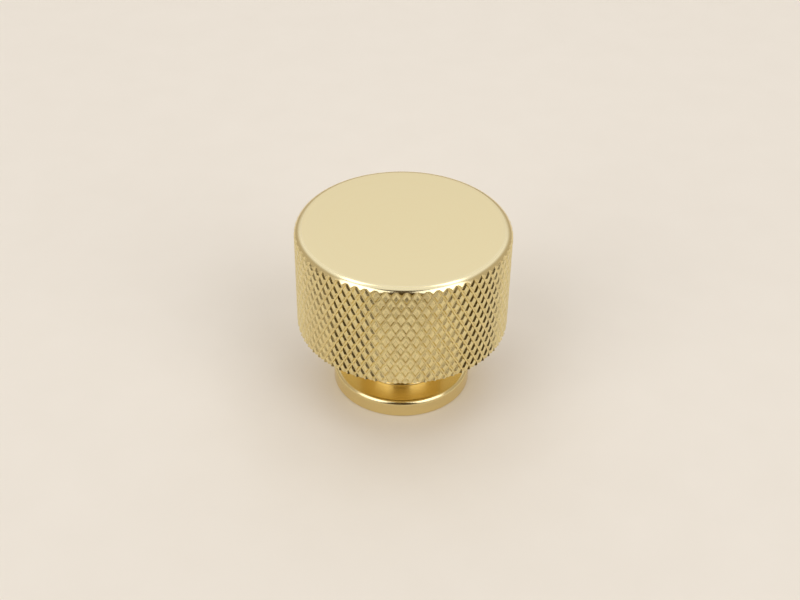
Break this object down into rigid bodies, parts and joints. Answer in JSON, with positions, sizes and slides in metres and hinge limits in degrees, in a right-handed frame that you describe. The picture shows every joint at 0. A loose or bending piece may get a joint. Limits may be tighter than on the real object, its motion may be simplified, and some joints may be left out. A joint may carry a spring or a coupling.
{
  "type": "cabinet knob",
  "caption": "Round cabinet knob: diamond-knurled drum head with a smooth flat face and rounded shoulder, plain neck and disc foot, fixed by a screw from behind.",
  "frame": {"origin": "centre of the foot's flat underside, on the knob's axis", "axes": "+Z along the knob's axis from the foot to the head's face; the knob is round, so +X and +Y are any two square directions in the foot's plane"},
  "size_m": [0.03, 0.03, 0.026],
  "materials": {
    "satin_brass": "satin"
  },
  "bodies": {
    "root": {"knob": "satin_brass"}
  },
  "joints": []
}
